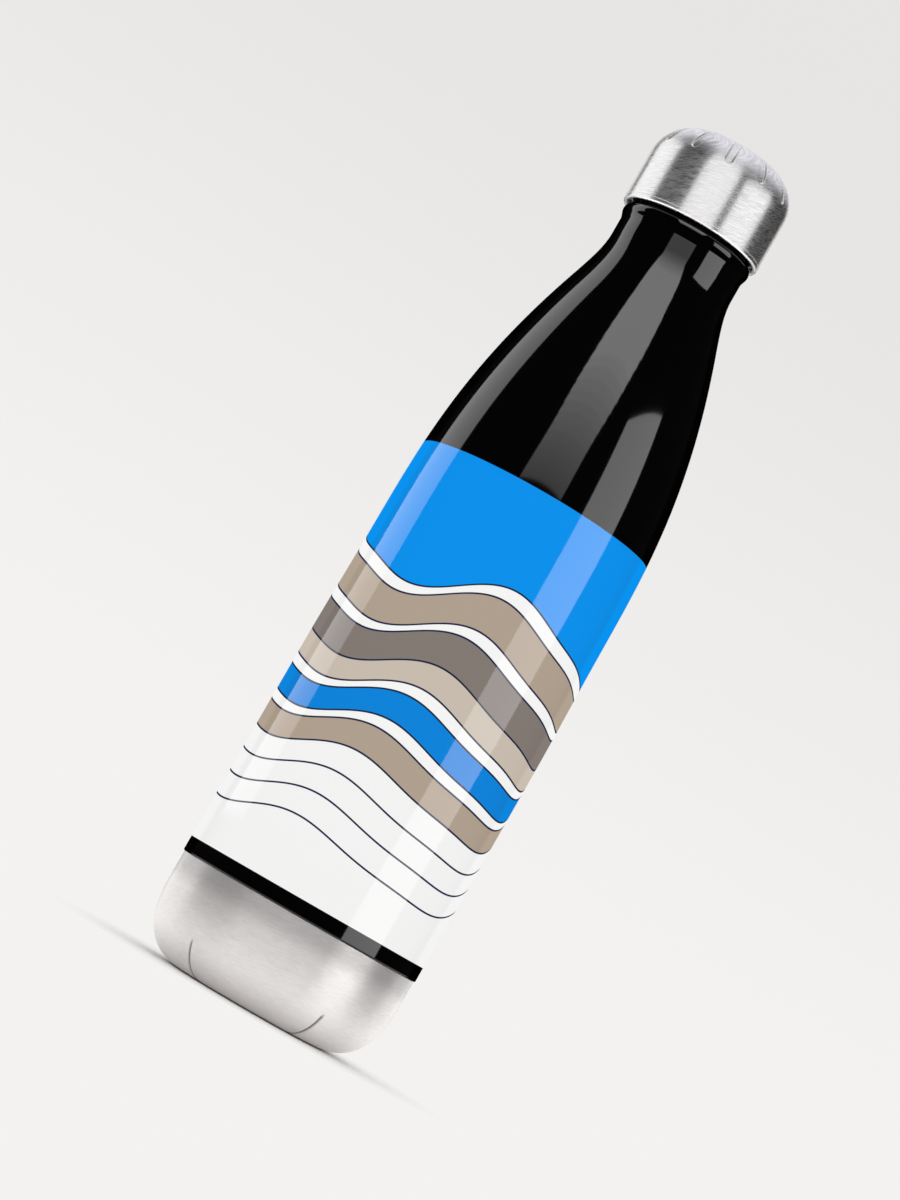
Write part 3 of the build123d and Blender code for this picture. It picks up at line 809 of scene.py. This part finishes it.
@dataclass
class Finishes:
    """Every material of the bottle."""

    effects: Effects

    def __post_init__(self) -> None:
        """Make the materials."""
        e = self.effects
        self.paint = PrintedPaint(bands=self.print_bands()).make(e)
        # Painted shade: the cap's colour is a little darker in its pressed notches.
        self.cap_steel = BrushedSteel(
            "cap_steel", (0.97, 0.955, 0.955), (0.8, 0.79, 0.795), (0.24, 0.4),
            pitch=0.12 * MM, length=2.6 * MM, relief=0.07, depth=0.03 * MM, seed=3.0, painted_groove_shade=0.08,
        ).make(e)
        # Painted shade: the base's colour darkens just under the paint edge and towards the foot, and much more in its
        # creases.
        self.base_steel = BrushedSteel(
            "base_steel", (0.96, 0.93, 0.915), (0.86, 0.835, 0.825), (0.38, 0.5),
            pitch=0.14 * MM, length=2.4 * MM, climb=0.1, relief=0.08, seed=5.0,
            painted_shades=((19 * MM, 25 * MM, 0.3), (10 * MM, 0.0, 0.2)), painted_groove_shade=0.7,
        ).make(e)
        self.liner_steel = BrushedSteel(
            "liner_steel", (0.72, 0.71, 0.7), (0.6, 0.59, 0.58), (0.16, 0.26), relief=0.05, anisotropy=0.2, seed=7.0
        ).make(e)
        self.copper = Moulded("copper_foil", (0.86, 0.46, 0.3), (0.7, 0.34, 0.2), (0.2, 0.4), patches=0.006, metallic=1.0).make(e)
        self.getter = Moulded("getter_metal", (0.12, 0.115, 0.11), (0.07, 0.068, 0.065), (0.6, 0.8), metallic=0.6).make(e)
        self.glass = Moulded("seal_glass", (0.03, 0.026, 0.022), (0.018, 0.016, 0.014), (0.08, 0.14), relief=0.04).make(e)
        self.plastic = Moulded("cap_plastic", (0.74, 0.74, 0.72), (0.68, 0.68, 0.66), (0.32, 0.44), relief=0.06, subsurface=0.15).make(e)
        self.foam = Moulded("pad_foam", (0.8, 0.78, 0.74), (0.68, 0.66, 0.62), (0.8, 0.95), grain=0.0007, relief=0.6).make(e)
        self.silicone = Moulded("silicone", (0.8, 0.8, 0.78), (0.74, 0.74, 0.72), (0.4, 0.52), subsurface=0.4).make(e)

    @staticmethod
    def print_bands() -> tuple[WaveBand, ...]:
        """Parallel wavy stripes, from the blue at the top down to the pale foot of the print."""
        white, pale, blue = srgb(251, 251, 251), srgb(249, 249, 249), srgb(14, 136, 226)
        taupe, stone, sand = srgb(181, 165, 148), srgb(135, 126, 120), srgb(206, 194, 180)
        stripes = (
            (122.0, white), (118.5, taupe), (108.5, white), (105.5, stone), (96.0, sand), (89.0, white),
            (86.0, blue), (78.5, white), (75.5, taupe), (68.0, pale), (61.0, pale), (54.0, pale), (47.0, pale),
        )
        return tuple(
            WaveBand(level * MM, (5.2 - 0.22 * i) * MM, 3, 0.6 + 0.16 * i, colour, (1.3 - 0.06 * i) * MM, 6)
            for i, (level, colour) in enumerate(stripes)
        )


# ---- sub-assemblies ------------------------------------------------------------------


def finish_piece(piece: bpy.types.Object, body: Body, slot: str, *nodes: str) -> None:
    """Settle what a new piece belongs to: its body and the nodes that it stands for, which it hides."""
    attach(piece, body.value)
    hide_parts(*nodes)
    log.info("%s rides on %s for %s, %d faces", piece.name, body.value, ", ".join(nodes), len(piece.data.polygons))


def dress_node(node: bpy.types.Object, finish: bpy.types.Material) -> None:
    """Give a carried-over node its material."""
    node.data.materials.clear()
    node.data.materials.append(finish)
    log.info("%s dressed in %s", node.name, finish.name)


@dataclass
class BottleWall:
    """Painted outer wall: body, shoulder, neck, bead and lip."""

    wall: float = 0.6 * MM
    straight: float = 64.4 * MM
    shoulder: float = 137.0 * MM
    neck_radius: float = 18.6 * MM
    neck: float = 4.8 * MM
    bead_out: float = 0.75 * MM
    bead_flare: float = 3.0 * MM
    bead_round: float = 1.8 * MM
    edge_round: float = 0.3 * MM
    form: tuple[Point, ...] = ((0.22, 0.022), (0.45, 0.058), (0.59, 0.172), (0.73, 0.395), (0.875, 0.74), (0.94, 0.914))

    def knots(self, wall_radius: float, neck_radius: float, foot: float) -> list[Point]:
        """Points of the shoulder's form, from the wall up to the neck."""
        drop = wall_radius - neck_radius
        inner = [(wall_radius - d * drop, foot + h * self.shoulder) for h, d in self.form]
        return [(wall_radius, foot), *inner, (neck_radius, foot + self.shoulder)]

    def outline(self, low: Vector, high: Vector) -> Outline:
        """Outline of the sheet, up its outside and down its inside."""
        radius, foot, top = high.x, low.z, high.z
        straight_top = foot + self.straight
        neck_foot = straight_top + self.shoulder
        neck_top = neck_foot + self.neck
        widest = neck_top + self.bead_flare
        lip = self.neck_radius + self.bead_out - self.bead_round
        o = Outline().start(radius - self.wall, foot)
        o.line(radius - self.edge_round, foot)
        o.arc((radius - self.edge_round, foot + self.edge_round), self.edge_round, -90, 0)
        o.line(radius, straight_top, 3 * MM)
        o.curve(self.knots(radius, self.neck_radius, straight_top), 1.4 * MM)
        o.line(self.neck_radius, neck_top, 1.5 * MM)
        bead = self.neck_radius + self.bead_out
        o.curve([(self.neck_radius, neck_top), (bead, widest)], 0.25 * MM)
        o.arc((lip, widest), self.bead_round, 0, 90)
        o.line(lip, top, 1.5 * MM)
        o.line(lip - self.wall, top)
        inner_bead = bead - self.wall
        step = widest + self.bead_round - self.wall
        o.line(lip - self.wall, step, 1.5 * MM)
        o.line(lip, step)
        o.arc((lip, widest), self.bead_round - self.wall, 90, 0)
        o.curve([(inner_bead, widest), (self.neck_radius - self.wall, neck_top)], 0.4 * MM)
        o.line(self.neck_radius - self.wall, neck_foot, 1.5 * MM)
        o.curve(self.knots(radius - self.wall, self.neck_radius - self.wall, straight_top)[::-1], 2.5 * MM)
        o.line(radius - self.wall, foot, 6 * MM)
        return o

    def build(self, lathe: Lathe, finishes: Finishes) -> bpy.types.Object:
        """Turn the wall, dress it and return it."""
        low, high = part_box("outer_shell")
        piece = lathe.turn("painted_wall", self.outline(low, high), finishes.paint, columns=224)
        finish_piece(settle(piece, 50), Body.BOTTLE, "painted_wall", "outer_shell")
        return piece


@dataclass
class BaseCup:
    """Bare steel bottom: wall, round corner, foot ring, recess with its turned cover."""

    wall: float = 0.6 * MM
    spigot: float = 3.4 * MM
    joggle: float = 0.6 * MM
    corner: float = 15.6 * MM
    corner_rise: float = 20.5 * MM
    corner_power: float = 2.5
    foot_ring: float = 3.4 * MM
    recess: float = 2.2 * MM
    slope: float = 0.9 * MM
    small: float = 0.5 * MM
    dimple_radius: float = 4.6 * MM
    dimple: float = 1.4 * MM
    dimple_slope: float = 0.6 * MM
    cover_rings: int = 9
    creases: int = 5
    crease_turn: float = math.radians(-93.4 + 36)
    crease_width: float = 1.2 * MM
    crease_depth: float = 0.55 * MM
    crease_top: float = 9.0 * MM
    crease_foot: float = 0.4 * MM

    def outline(self, high: Vector) -> tuple[Outline, float]:
        """Outline of the cup, from the axis below, and the share of its points that lie on the outside."""
        radius, top = high.x, high.z
        edge = top - self.spigot
        inside_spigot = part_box("outer_shell")[1].x - self.wall
        foot = radius - self.corner
        recess_radius = foot - self.foot_ring - self.slope
        o = Outline(step=0.4 * MM).start(0.0, self.recess + self.dimple)
        o.line(self.dimple_radius - self.dimple_slope, self.recess + self.dimple)
        o.line(self.dimple_radius, self.recess)
        o.line(recess_radius, self.recess)
        o.line(recess_radius + self.slope - 0.1 * MM, self.small)
        o.arc((recess_radius + self.slope + 0.4 * MM, self.small), self.small, 180, 270)
        o.line(foot, 0.0)
        o.bulge(foot, self.corner, self.corner_rise, self.corner_power)
        o.line(radius, edge - 0.15 * MM, 1.2 * MM)
        o.arc((radius - 0.15 * MM, edge - 0.15 * MM), 0.15 * MM, 0, 90)
        outside = len(o.points)
        o.line(inside_spigot, edge)
        o.line(inside_spigot, top, 1.2 * MM)
        o.line(inside_spigot - self.wall, top)
        o.line(inside_spigot - self.wall, edge, 1.2 * MM)
        o.line(radius - self.wall, edge - self.joggle)
        o.line(radius - self.wall, self.corner, 2 * MM)
        o.arc((foot, self.corner), self.corner - self.wall, 0, -90)
        o.line(recess_radius + self.slope + self.wall, self.wall)
        o.line(recess_radius + self.wall, self.recess + self.wall)
        o.line(self.dimple_radius + self.wall, self.recess + self.wall)
        o.line(self.dimple_radius - self.dimple_slope + self.wall, self.recess + self.dimple + self.wall)
        o.line(0.0, self.recess + self.dimple + self.wall)
        return o, outside / len(o.points)

    def cover_outline(self, low: Vector, high: Vector) -> Outline:
        """Outline of the cover disc, with shallow turned rings on its underside."""
        radius = high.x
        thick = high.z - low.z
        o = Outline(step=0.12 * MM).start(0.0, low.z)
        ring = (radius - 2 * MM) / self.cover_rings
        for i in range(1, self.cover_rings + 1):
            at = ring * i
            o.line(at - 0.18 * MM, low.z)
            o.line(at, low.z + 0.09 * MM)
            o.line(at + 0.18 * MM, low.z)
        o.line(radius - thick / 2, low.z)
        o.arc((radius - thick / 2, low.z + thick / 2), thick / 2, -90, 0)
        o.line(radius, high.z)
        o.line(0.0, high.z)
        return o

    def build(self, lathe: Lathe, finishes: Finishes, grooves: bpy.types.NodeTree) -> list[bpy.types.Object]:
        """Turn the cup and its cover and return them."""
        outline, outside = self.outline(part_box("base_cup")[1])
        steel = finishes.base_steel
        cup = lathe.turn("bare_base", outline, steel, self.creases, 64, (0.35, 0.06), self.crease_turn)
        # The cup's outline runs the other way round from the cap's, so its normals point inwards here.
        values = {
            "Count": self.creases,
            "Turn": self.crease_turn,
            "Width": self.crease_width,
            "Depth": -self.crease_depth,
            "Rim": 0.0,
            "Edge": self.crease_width / 2,
            "Lower End": self.crease_foot - self.crease_width / 2,
            "Upper End": self.crease_top,
            "Inner Radius": 0.0,
            "Outside Share": outside,
            "Finish": steel,
        }
        add_tree(cup, grooves, values)
        finish_piece(settle(cup, 40), Body.BOTTLE, "base_steel", "base_cup")
        cover = lathe.turn("base_disc", self.cover_outline(*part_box("base_cover")), finishes.base_steel, columns=128)
        finish_piece(settle(cover, 30), Body.BOTTLE, "base_steel", "base_cover")
        return [cup, cover]


@dataclass
class CapDome:
    """Steel dome of the cap with its pressed notches and rolled hem."""

    wall: float = 0.8 * MM
    crown: float = 72.0 * MM
    corner: float = 11.3 * MM
    hem: float = 1.2 * MM
    hem_turn_in: float = 0.5 * MM
    hem_round: float = 0.55 * MM
    groove: float = 0.16 * MM
    notches: int = 12
    notch_turn: float = math.radians(-93.4)
    notch_width: float = 2.6 * MM
    notch_depth: float = 0.5 * MM
    notch_edge: float = 0.42 * MM
    notch_drop: float = 9.4 * MM
    notch_inner_radius: float = 12.0 * MM
    notch_run_out: float = 5.5 * MM

    def dome(self, outline: Outline, radius: float, top: float, inset: float, down: bool, step: float) -> None:
        """Add the dome between the axis and the wall to an outline, downwards outside or upwards inside."""
        across = (radius - self.corner) / (self.crown - self.corner)
        lean = math.degrees(math.asin(across))
        centre = top - self.crown
        corner_centre = (radius - self.corner, centre + (self.crown - self.corner) * math.cos(math.radians(lean)))
        outline.step = step
        angles = (90.0, 90.0 - lean, 0.0)
        if down:
            outline.arc((0.0, centre), self.crown - inset, angles[0], angles[1])
            outline.arc(corner_centre, self.corner - inset, angles[1], angles[2])
        else:
            outline.arc(corner_centre, self.corner - inset, angles[2], angles[1])
            outline.arc((0.0, centre), self.crown - inset, angles[1], angles[0])

    def outline(self, low: Vector, high: Vector) -> tuple[Outline, float]:
        """Outline of the dome and the share of its points that lie on the outside."""
        radius, edge, top = high.x, low.z, high.z
        o = Outline().start(0.0, top)
        self.dome(o, radius, top, 0.0, True, 0.22 * MM)
        hem_top = edge + self.hem
        o.line(radius, hem_top + self.groove, 1.2 * MM)
        o.step = 0.05 * MM
        o.arc((radius, hem_top), self.groove, 90, 270)
        outside = len(o.points)
        o.line(radius, edge + self.hem_round)
        o.step = 0.1 * MM
        o.arc((radius - self.hem_round, edge + self.hem_round), self.hem_round, 0, -90)
        inner = radius - self.wall
        turned = inner - self.hem_turn_in
        o.line(turned + self.hem_round, edge)
        o.arc((turned + self.hem_round, edge + self.hem_round), self.hem_round, -90, -180)
        o.line(turned, hem_top)
        o.line(inner, hem_top)
        corner_height = top - self.crown + (self.crown - self.corner) * math.sqrt(
            1 - ((radius - self.corner) / (self.crown - self.corner)) ** 2
        )
        o.line(inner, corner_height, 3 * MM)
        self.dome(o, radius, top, self.wall, False, 0.9 * MM)
        return o, outside / len(o.points)

    def build(self, lathe: Lathe, finishes: Finishes, grooves: bpy.types.NodeTree) -> bpy.types.Object:
        """Turn the dome, press its notches, dress it and return it."""
        low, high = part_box("cap_shell")
        outline, outside = self.outline(low, high)
        piece = lathe.turn(
            "cap_dome", outline, finishes.cap_steel, self.notches, 32, (0.72, 0.34), self.notch_turn
        )
        values = {
            "Count": self.notches,
            "Turn": self.notch_turn,
            "Width": self.notch_width,
            "Depth": self.notch_depth,
            "Edge": self.notch_edge,
            "Lower End": high.z - self.notch_drop,
            "Inner Radius": self.notch_inner_radius,
            "Run-out": self.notch_run_out,
            "Outside Share": outside,
            "Finish": finishes.cap_steel,
        }
        add_tree(piece, grooves, values)
        finish_piece(settle(piece, 55), Body.CAP, "cap_steel", "cap_shell")
        return piece


@dataclass
class InnerParts:
    """Pieces inside the bottle and the cap, which keep their own meshes."""

    nodes: dict[str, bpy.types.Object]

    def dress(self, finishes: Finishes) -> list[bpy.types.Object]:
        """Give each inner node its finish and return them."""
        wanted = {
            "inner_liner": finishes.liner_steel,
            "liner_bottom": finishes.liner_steel,
            "liner_foil": finishes.copper,
            "getter_pill": finishes.getter,
            "getter_clip": finishes.liner_steel,
            "vacuum_seal": finishes.glass,
            "inner_cap": finishes.plastic,
            "cap_pad": finishes.foam,
            "stopper_plug": finishes.plastic,
            "stopper_end": finishes.plastic,
            "stopper_foam": finishes.foam,
            "mouth_gasket": finishes.silicone,
        }
        for name, finish in wanted.items():
            dress_node(self.nodes[name], finish)
        return [self.nodes[name] for name in wanted]


# ---- studio --------------------------------------------------------------------------


class Lamp:
    """Rectangular lamp that shows in gloss only, in every piece or in chosen ones."""

    def __init__(self, name: str, width: float, height: float, radiance: float) -> None:
        """Add the lamp to the scene, facing down at the origin."""
        data = bpy.data.lights.new(name, "AREA")
        data.shape = "RECTANGLE"
        data.size = width
        data.size_y = height
        data.energy = radiance * math.pi * width * height
        self.object = bpy.data.objects.new(name, data)
        self.object.visible_camera = False
        self.object.visible_diffuse = False
        bpy.context.scene.collection.objects.link(self.object)

    def reach(self, pieces: list[bpy.types.Object]) -> None:
        """Let the lamp show in these pieces only."""
        receivers = bpy.data.collections.new(f"{self.object.name}_receivers")
        for piece in pieces:
            receivers.objects.link(piece)
        self.object.light_linking.receiver_collection = receivers


@dataclass(frozen=True)
class Softbox:
    """Upright rectangular lamp that faces the bottle's axis."""

    name: str
    bearing: float
    distance: float
    width: float
    bottom: float
    top: float
    radiance: float
    reach: Reach

    def place(self, receivers: dict[Reach, list[bpy.types.Object]]) -> None:
        """Add the lamp to the scene, facing the axis."""
        lamp = Lamp(self.name, self.width, self.top - self.bottom, self.radiance)
        angle = math.radians(self.bearing)
        middle = (self.top + self.bottom) / 2
        place = Vector((self.distance * math.sin(angle), -self.distance * math.cos(angle), middle))
        turn = Matrix.Rotation(angle, 4, "Z") @ Matrix.Rotation(math.radians(90), 4, "X")
        lamp.object.matrix_world = Matrix.Translation(place) @ turn
        lamp.reach(receivers[self.reach])


@dataclass(frozen=True)
class FloorGlow:
    """Flat lamp just above the floor that shows the bright floor to bare steel."""

    name: str
    size: float
    height: float
    radiance: float
    reach: Reach

    def place(self, receivers: dict[Reach, list[bpy.types.Object]]) -> None:
        """Add the lamp to the scene, facing up."""
        lamp = Lamp(self.name, self.size, self.size, self.radiance)
        lamp.object.matrix_world = Matrix.Translation((0, 0, self.height)) @ Matrix.Rotation(math.pi, 4, "X")
        lamp.reach(receivers[self.reach])


@dataclass
class Studio:
    """Camera, lamps, floor and surrounding light."""

    receivers: dict[Reach, list[bpy.types.Object]]
    lens: float = 103.26
    eye: Point = (-7.1065 * MM, -918.2 * MM)
    eye_height: float = 34.05 * MM
    pitch: float = 5.386
    roll: float = 29.91
    near_tone: Colour = srgb(243, 242, 241)
    far_tone: Colour = srgb(230, 229, 227)
    ceiling: Colour = (0.84, 0.85, 0.91)
    fill: float = 1.03
    gloss_fill: float = 0.012
    floor_shade: tuple[float, float] = (30 * MM, 64 * MM)
    floor_gloss: tuple[float, float] = (330 * MM, 400 * MM)
    front_glow: tuple[tuple[float, float, float], ...] = (
        (0.42, 1.0, 0.76), (0.5, 1.32, 0.76), (0.57, 1.62, 0.76), (0.62, 1.92, 0.77), (0.69, 2.2, 0.8), (0.76, 2.62, 0.85),
        (0.84, 2.94, 0.9), (0.92, 3.33, 0.95), (1.02, 3.9, 1.0), (1.2, 3.9, 1.12), (1.5, 3.9, 1.25),
    )
    front_parts: int = 22
    lamps: tuple[Softbox | FloorGlow, ...] = (
        Softbox("right_box", 58.5, 0.9, 0.6, 0.01, 0.71, 3.0, Reach.REST),
        Softbox("left_box", -107.0, 0.9, 0.5, 0.05, 1.3, 1.9, Reach.REST),
        Softbox("cap_right", 60.0, 0.9, 0.91, 0.02, 0.76, 1.08, Reach.CAP),
        Softbox("cap_left", -112.0, 0.9, 0.89, 0.02, 0.8, 1.02, Reach.CAP),
        Softbox("cap_front", -6.0, 1.0, 1.06, 0.02, 1.6, 0.93, Reach.CAP),
        FloorGlow("cap_floor", 2.0, 0.4 * MM, 0.8, Reach.CAP),
        Softbox("base_right", 62.0, 0.9, 0.6, 0.01, 0.71, 1.6, Reach.BASE),
        Softbox("base_front", -8.0, 0.6, 1.1, 0.0, 0.5, 0.46, Reach.BASE),
        Softbox("base_left", -130.0, 0.6, 0.6, 0.0, 0.5, 0.8, Reach.BASE),
        Softbox("base_far_right", 140.0, 0.6, 0.5, 0.0, 0.5, 0.8, Reach.BASE),
        FloorGlow("base_floor", 0.66, 0.4 * MM, 0.13, Reach.BASE),
    )

    def front_stack(self) -> list[Softbox]:
        """Front lamp as a stack of thin boxes that grow brighter upwards."""
        knots = self.front_glow
        low, high = knots[0][0], knots[-1][0]
        edges = [low + (high - low) * (i / self.front_parts) ** 2 for i in range(self.front_parts + 1)]
        stack = []
        for i, (bottom, top) in enumerate(zip(edges, edges[1:])):
            middle = (bottom + top) / 2
            under, over = next((a, b) for a, b in zip(knots, knots[1:]) if middle <= b[0])
            share = (middle - under[0]) / (over[0] - under[0])
            radiance, width = (a + (b - a) * share for a, b in zip(under[1:], over[1:]))
            stack.append(Softbox(f"front_box_{i}", -4.0, 1.0, width, bottom, top, radiance, Reach.REST))
        return stack

    def camera(self) -> None:
        """Place the camera, rolled so that the bottle leans to the right."""
        data = bpy.data.cameras.new("camera")
        data.lens = self.lens
        data.sensor_width = 36.0
        data.clip_start = 0.01
        camera = bpy.data.objects.new("camera", data)
        bpy.context.scene.collection.objects.link(camera)
        tilt = Matrix.Rotation(math.radians(90 + self.pitch), 4, "X")
        roll = Matrix.Rotation(math.radians(self.roll), 4, "Z")
        camera.matrix_world = Matrix.Translation((*self.eye, self.eye_height)) @ tilt @ roll
        bpy.context.scene.camera = camera

    def world(self) -> None:
        """Pale background, dim surround with a pale ceiling for gloss, soft fill for everything else."""
        world = bpy.data.worlds.new("studio")
        world.use_nodes = True
        world.node_tree.nodes.clear()
        bpy.context.scene.world = world
        t = Tree(world.node_tree)
        path = t.node("ShaderNodeLightPath").outputs
        direction = t.node("ShaderNodeTexCoord").outputs["Generated"]
        apart = t.node("ShaderNodeSeparateXYZ", {0: direction}).outputs
        seen = t.mix(t.ramp(apart["Z"], 0.0, 0.28), self.near_tone, self.far_tone)
        behind = t.math("MAXIMUM", apart["Y"], 0.0)
        overhead = t.ramp(t.math("ADD", apart["Z"], t.math("MULTIPLY", behind, 0.55)), 0.8, 0.94)
        glossy = t.mix(t.ramp(apart["Y"], 0.8, 0.92), (self.gloss_fill,) * 3, seen)
        glossy = t.mix(overhead, glossy, self.ceiling)
        colour = t.mix(path["Is Glossy Ray"], (self.fill,) * 3, glossy)
        eye = t.math("MAXIMUM", path["Is Camera Ray"], path["Is Transmission Ray"])
        shade = t.node("ShaderNodeBackground", {"Color": t.mix(eye, colour, seen), "Strength": 1.0})
        end = t.node("ShaderNodeOutputWorld")
        t.put(end.inputs["Surface"], shade.outputs[0])

    def floor(self) -> None:
        """Pale floor that keeps the shadow near the bottle and meets the background farther out."""
        size = 4.0
        mesh = bpy.data.meshes.new("floor")
        corners = [(-size, -size, 0), (size, -size, 0), (size, size, 0), (-size, size, 0)]
        mesh.from_pydata(corners, [], [(0, 1, 2, 3)])
        floor = bpy.data.objects.new("floor", mesh)
        bpy.context.scene.collection.objects.link(floor)
        material, t, shader = blank_material("floor_sweep")
        shade = tuple(c / self.fill for c in self.near_tone)
        t.put(shader.inputs["Base Color"], shade)
        t.put(shader.inputs["Roughness"], 0.9)
        t.put(shader.inputs["Specular IOR Level"], 0.0)
        place = t.node("ShaderNodeTexCoord").outputs["Object"]
        length = t.node("ShaderNodeVectorMath", {0: place}, operation="LENGTH").outputs["Value"]
        path = t.node("ShaderNodeLightPath").outputs
        far_gloss = t.math("MULTIPLY", t.ramp(length, *self.floor_gloss), path["Is Glossy Ray"])
        tone = t.mix(far_gloss, self.near_tone, (self.gloss_fill,) * 3)
        glow = t.node("ShaderNodeEmission", {"Color": tone, "Strength": 1.0})
        share = t.ramp(length, *self.floor_shade)
        both = t.node("ShaderNodeMixShader", {0: share, 1: shader.outputs[0], 2: glow.outputs[0]})
        t.put(material.node_tree.nodes["Material Output"].inputs["Surface"], both.outputs[0])
        mesh.materials.append(material)

    def build(self) -> None:
        """Set up everything that isn't the bottle."""
        bpy.context.scene.view_settings.view_transform = "Standard"
        self.camera()
        self.world()
        self.floor()
        for lamp in (*self.lamps, *self.front_stack()):
            lamp.place(self.receivers)
        log.info("studio ready with %d lamps", len(self.lamps))


def main() -> None:
    """Load the frame, build every sub-assembly in order and set up the studio."""
    logging.basicConfig(level=logging.INFO, format="%(name)s: %(message)s")
    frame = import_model()
    lathe = Lathe(build_turning_tree())
    finishes = Finishes(Effects())
    grooves = build_groove_tree()
    wall = BottleWall().build(lathe, finishes)
    base = BaseCup().build(lathe, finishes, grooves)
    cap = CapDome().build(lathe, finishes, grooves)
    inner = InnerParts(frame["nodes"]).dress(finishes)
    Studio({Reach.CAP: [cap], Reach.BASE: base, Reach.REST: [wall, *inner]}).build()


if __name__ == "__main__":
    main()
